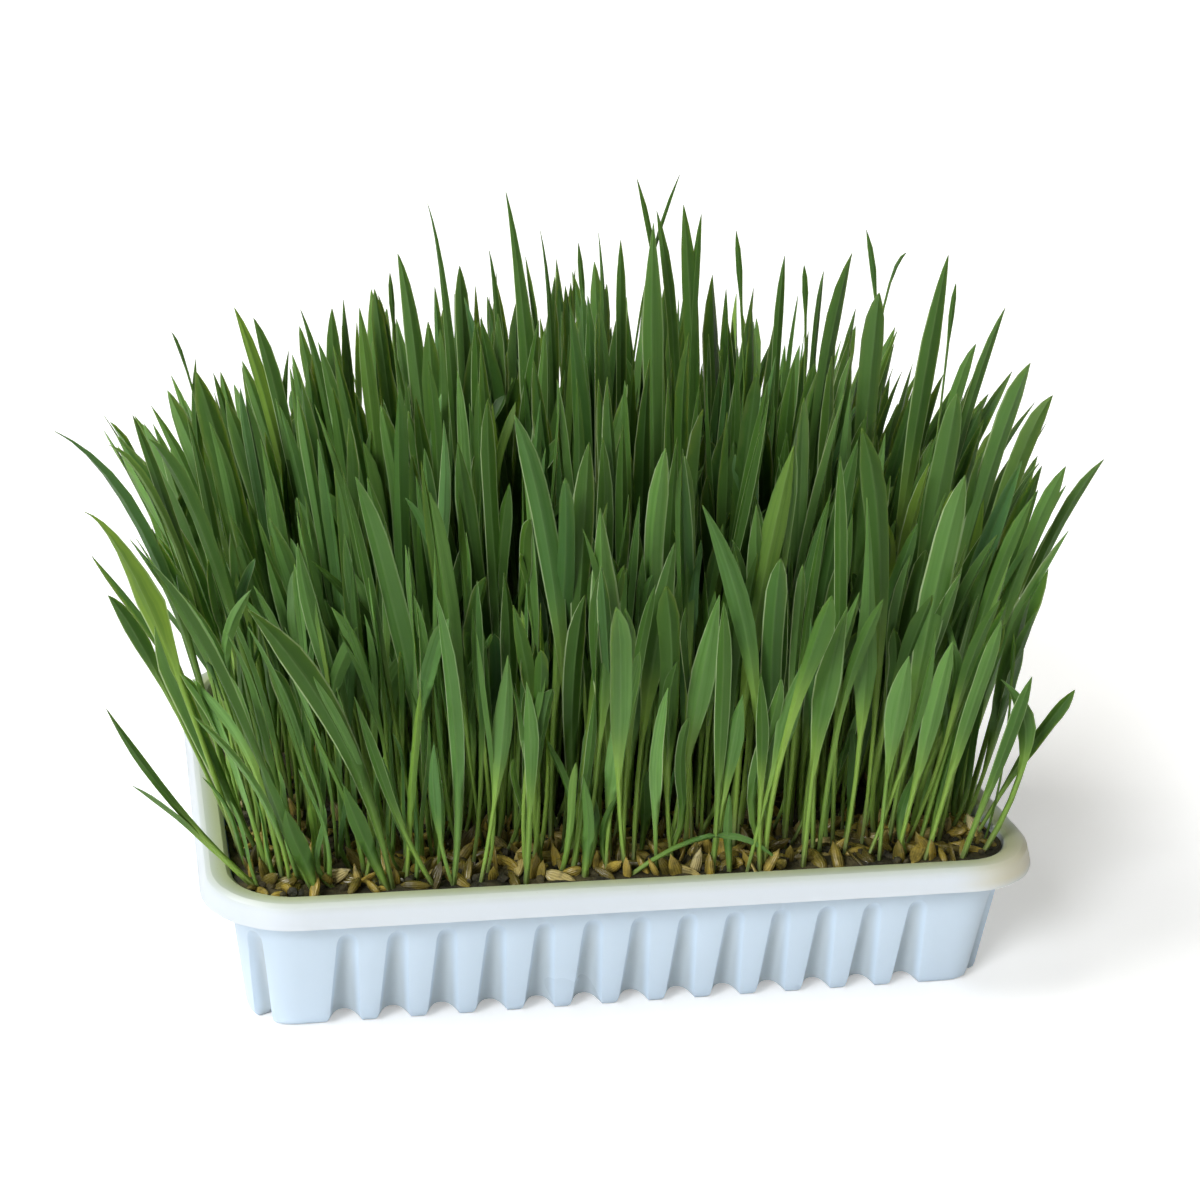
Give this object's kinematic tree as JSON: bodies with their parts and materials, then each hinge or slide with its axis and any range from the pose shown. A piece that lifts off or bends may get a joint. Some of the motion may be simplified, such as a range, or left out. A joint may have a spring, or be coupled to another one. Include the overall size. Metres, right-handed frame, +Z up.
{
  "type": "wheatgrass tray",
  "caption": "Rectangular fluted white plastic tray with a flared rim, filled with soil, sown kernels and a dense stand of tall fanning grass shoots.",
  "frame": {"origin": "centre of the tray's underside, on the surface it stands on", "axes": "+X along the tray's long side, to the right seen from the front; +Y to the back; +Z up, along the shoots"},
  "size_m": [0.2394, 0.1545, 0.171],
  "materials": {
    "tray": "thin thermoformed sheet, cool white, satin",
    "soil": "moist crumbly peat and bark mix, matt, dark brown with pale grains",
    "kernel": "husked grain, golden brown with a pale furrow, satin",
    "grass": "living leaf, mid green with fine lengthwise veins, yellow-green stem, soft sheen"
  },
  "bodies": {
    "root": {"tray": "tray", "soil": "soil", "kernel_1": "kernel", "kernel_2": "kernel", "kernel_3": "kernel", "kernel_4": "kernel", "kernel_5": "kernel", "kernel_6": "kernel", "kernel_7": "kernel", "kernel_8": "kernel", "kernel_9": "kernel", "kernel_10": "kernel", "tuft_a1": "grass", "tuft_a2": "grass", "tuft_a3": "grass", "tuft_a4": "grass", "tuft_a5": "grass", "tuft_a6": "grass", "tuft_a7": "grass", "tuft_a8": "grass", "tuft_b1": "grass", "tuft_b2": "grass", "tuft_b3": "grass", "tuft_b4": "grass", "tuft_b5": "grass", "tuft_b6": "grass", "tuft_b7": "grass", "tuft_b8": "grass", "tuft_c1": "grass", "tuft_c2": "grass", "tuft_c3": "grass", "tuft_c4": "grass", "tuft_c5": "grass", "tuft_c6": "grass", "tuft_c7": "grass", "tuft_c8": "grass", "tuft_d1": "grass", "tuft_d2": "grass", "tuft_d3": "grass", "tuft_d4": "grass", "tuft_d5": "grass", "tuft_d6": "grass", "tuft_d7": "grass", "tuft_d8": "grass", "tuft_e1": "grass", "tuft_e2": "grass", "tuft_e3": "grass", "tuft_e4": "grass", "tuft_e5": "grass", "tuft_e6": "grass", "tuft_e7": "grass", "tuft_e8": "grass", "tuft_f1": "grass", "tuft_f2": "grass", "tuft_f3": "grass", "tuft_f4": "grass", "tuft_f5": "grass", "tuft_f6": "grass", "tuft_f7": "grass", "tuft_f8": "grass"}
  },
  "joints": []
}
